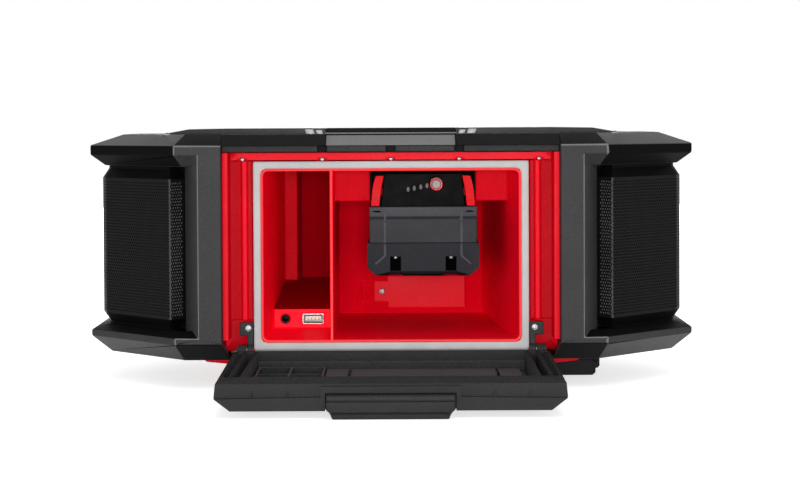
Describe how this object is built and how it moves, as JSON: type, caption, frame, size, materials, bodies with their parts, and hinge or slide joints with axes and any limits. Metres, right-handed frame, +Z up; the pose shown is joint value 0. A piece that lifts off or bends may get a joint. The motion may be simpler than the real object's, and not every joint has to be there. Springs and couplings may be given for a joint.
{
  "type": "jobsite radio",
  "caption": "Jobsite radio with slanted speaker ends behind guards, a red sealed bay with a battery pack and sockets, its drop-down door lying open, a folding carry handle and antenna.",
  "frame": {"origin": "middle of the whole outline, door lying open, on the surface that the feet stand on", "axes": "+X along the width, +Y from the battery door to the tuning side, +Z up"},
  "size_m": [0.416, 0.3244, 0.1723],
  "materials": {
    "battery_grey": "dark grey moulded plastic, fine texture",
    "battery_label": "smooth black plastic, bare label area",
    "black_plastic": "matte black plastic",
    "board_green": "green circuit board",
    "box_plastic": "matte black plastic",
    "bright_screw": "zinc-plated steel",
    "cell_can": "cell cans with film sleeve",
    "cone_paper": "black treated paper with rubber surround",
    "contact_metal": "nickel-plated contact metal",
    "dark_steel": "blackened steel",
    "display_glass": "dark liquid-crystal panel",
    "door_plastic": "matte black plastic, lightly textured",
    "foot_rubber": "black rubber",
    "gasket_rubber": "light grey foam rubber",
    "gauge_red": "black rubber button with red ring",
    "grille_metal": "black powder-coated perforated sheet",
    "grip_rubber": "glossy black rubber",
    "guard_plastic": "matte black moulded plastic, fine spark texture",
    "handle_plastic": "satin black plastic",
    "keeper_grey": "dark grey plastic",
    "knob_plastic": "satin black plastic",
    "latch_plastic": "matte black plastic",
    "latch_red": "red moulded plastic",
    "mast_metal": "dark chromed brass tube",
    "red_plastic": "matte red moulded plastic",
    "sink_aluminium": "extruded aluminium",
    "speaker_parts": "black painted steel",
    "transformer_steel": "laminated steel with wound coil",
    "window_plastic": "smoked clear plastic"
  },
  "bodies": {
    "housing": {"antenna_pin": "bright_screw", "antenna_yoke": "black_plastic", "aux_jack": "black_plastic", "backup_cells": "cell_can", "base_cover": "red_plastic", "case_screws": "bright_screw", "cell_cover": "red_plastic", "compartment_gasket": "gasket_rubber", "compartment_tub": "red_plastic", "display_module": "display_glass", "display_window": "window_plastic", "dock_contacts": "contact_metal", "dock_rails": "black_plastic", "driver_cone_left": "cone_paper", "driver_cone_right": "cone_paper", "driver_frame_left": "speaker_parts", "driver_frame_right": "speaker_parts", "end_guard_left": "guard_plastic", "end_guard_right": "guard_plastic", "feet": "foot_rubber", "front_panel": "box_plastic", "heat_sink": "sink_aluminium", "hinge_brackets": "dark_steel", "hinge_pins": "bright_screw", "inlet_housing": "black_plastic", "inlet_socket": "contact_metal", "latch_keeper": "keeper_grey", "main_board": "board_green", "passive_radiator_left": "cone_paper", "passive_radiator_right": "cone_paper", "power_supply": "transformer_steel", "rear_panel": "red_plastic", "speaker_box_left": "box_plastic", "speaker_box_right": "box_plastic", "speaker_grille_left": "grille_metal", "speaker_grille_right": "grille_metal", "top_cover": "guard_plastic", "usb_socket": "contact_metal"},
    "door": {"door_panel": "door_plastic", "door_liner": "door_plastic", "latch_pin": "bright_screw"},
    "door_latch_body": {"door_latch": "latch_plastic"},
    "battery": {"battery_case_base": "battery_grey", "battery_case_cover": "battery_grey", "battery_head": "battery_label", "battery_cells": "cell_can", "battery_screws": "bright_screw"},
    "battery_latch_l": {"battery_latch_left": "latch_red"},
    "battery_latch_r": {"battery_latch_right": "latch_red"},
    "gauge": {"gauge_button": "gauge_red"},
    "handle": {"carry_handle": "handle_plastic", "handle_grip": "grip_rubber"},
    "antenna": {"antenna_mast": "mast_metal"},
    "hatch": {"inlet_hatch": "black_plastic"},
    "volume": {"volume_knob": "knob_plastic"},
    "tuning": {"tuning_knob": "knob_plastic"},
    "power": {"power_button": "knob_plastic"},
    "preset_1": {"preset_button_1": "knob_plastic"},
    "preset_2": {"preset_button_2": "knob_plastic"},
    "preset_3": {"preset_button_3": "knob_plastic"}
  },
  "joints": [
    {"name": "door_hinge", "type": "hinge", "parent": "housing", "child": "door", "pos_m": [0, -0.0232, 0.0243], "axis": [-1, 0, 0], "range_deg": [0, 90]},
    {"name": "door_latch_pivot", "type": "hinge", "parent": "door", "child": "door_latch_body", "pos_m": [0, -0.1517, 0.0083], "axis": [1, 0, 0], "range_deg": [0, 20], "stiffness_Nm_per_rad": 0.03, "springref_deg": -17.19},
    {"name": "battery_slide", "type": "slide", "parent": "housing", "child": "battery", "axis": [0, 1, 0], "range_m": [-0.06, 0]},
    {"name": "battery_latch_left_press", "type": "slide", "parent": "battery", "child": "battery_latch_l", "axis": [1, 0, 0], "range_m": [0, 0.0015], "stiffness_N_per_m": 500, "springref_m": -0.001},
    {"name": "battery_latch_right_press", "type": "slide", "parent": "battery", "child": "battery_latch_r", "axis": [-1, 0, 0], "range_m": [0, 0.0015], "stiffness_N_per_m": 500, "springref_m": -0.001},
    {"name": "gauge_button_press", "type": "slide", "parent": "battery", "child": "gauge", "axis": [0, 1, 0], "range_m": [0, 0.0008], "stiffness_N_per_m": 300, "springref_m": -0.001},
    {"name": "handle_pivot", "type": "hinge", "parent": "housing", "child": "handle", "pos_m": [0, 0.0563, 0.1652], "axis": [-1, 0, 0], "range_deg": [0, 90]},
    {"name": "antenna_pivot", "type": "hinge", "parent": "housing", "child": "antenna", "pos_m": [0.104, 0.1143, 0.1652], "axis": [0, 1, 0], "range_deg": [0, 110]},
    {"name": "inlet_hatch_hinge", "type": "hinge", "parent": "housing", "child": "hatch", "pos_m": [0.1225, 0.0151, 0.01185], "axis": [-1, 0, 0], "range_deg": [0, 90]},
    {"name": "volume_turn", "type": "hinge", "parent": "housing", "child": "volume", "pos_m": [-0.078, 0.1453, 0.112], "axis": [0, 1, 0], "continuous": true},
    {"name": "tuning_turn", "type": "hinge", "parent": "housing", "child": "tuning", "pos_m": [0.078, 0.1453, 0.112], "axis": [0, 1, 0], "continuous": true},
    {"name": "power_press", "type": "slide", "parent": "housing", "child": "power", "axis": [0, -1, 0], "range_m": [0, 0.001], "stiffness_N_per_m": 400, "springref_m": -0.001},
    {"name": "preset_1_press", "type": "slide", "parent": "housing", "child": "preset_1", "axis": [0, -1, 0], "range_m": [0, 0.001], "stiffness_N_per_m": 400, "springref_m": -0.001},
    {"name": "preset_2_press", "type": "slide", "parent": "housing", "child": "preset_2", "axis": [0, -1, 0], "range_m": [0, 0.001], "stiffness_N_per_m": 400, "springref_m": -0.001},
    {"name": "preset_3_press", "type": "slide", "parent": "housing", "child": "preset_3", "axis": [0, -1, 0], "range_m": [0, 0.001], "stiffness_N_per_m": 400, "springref_m": -0.001}
  ]
}
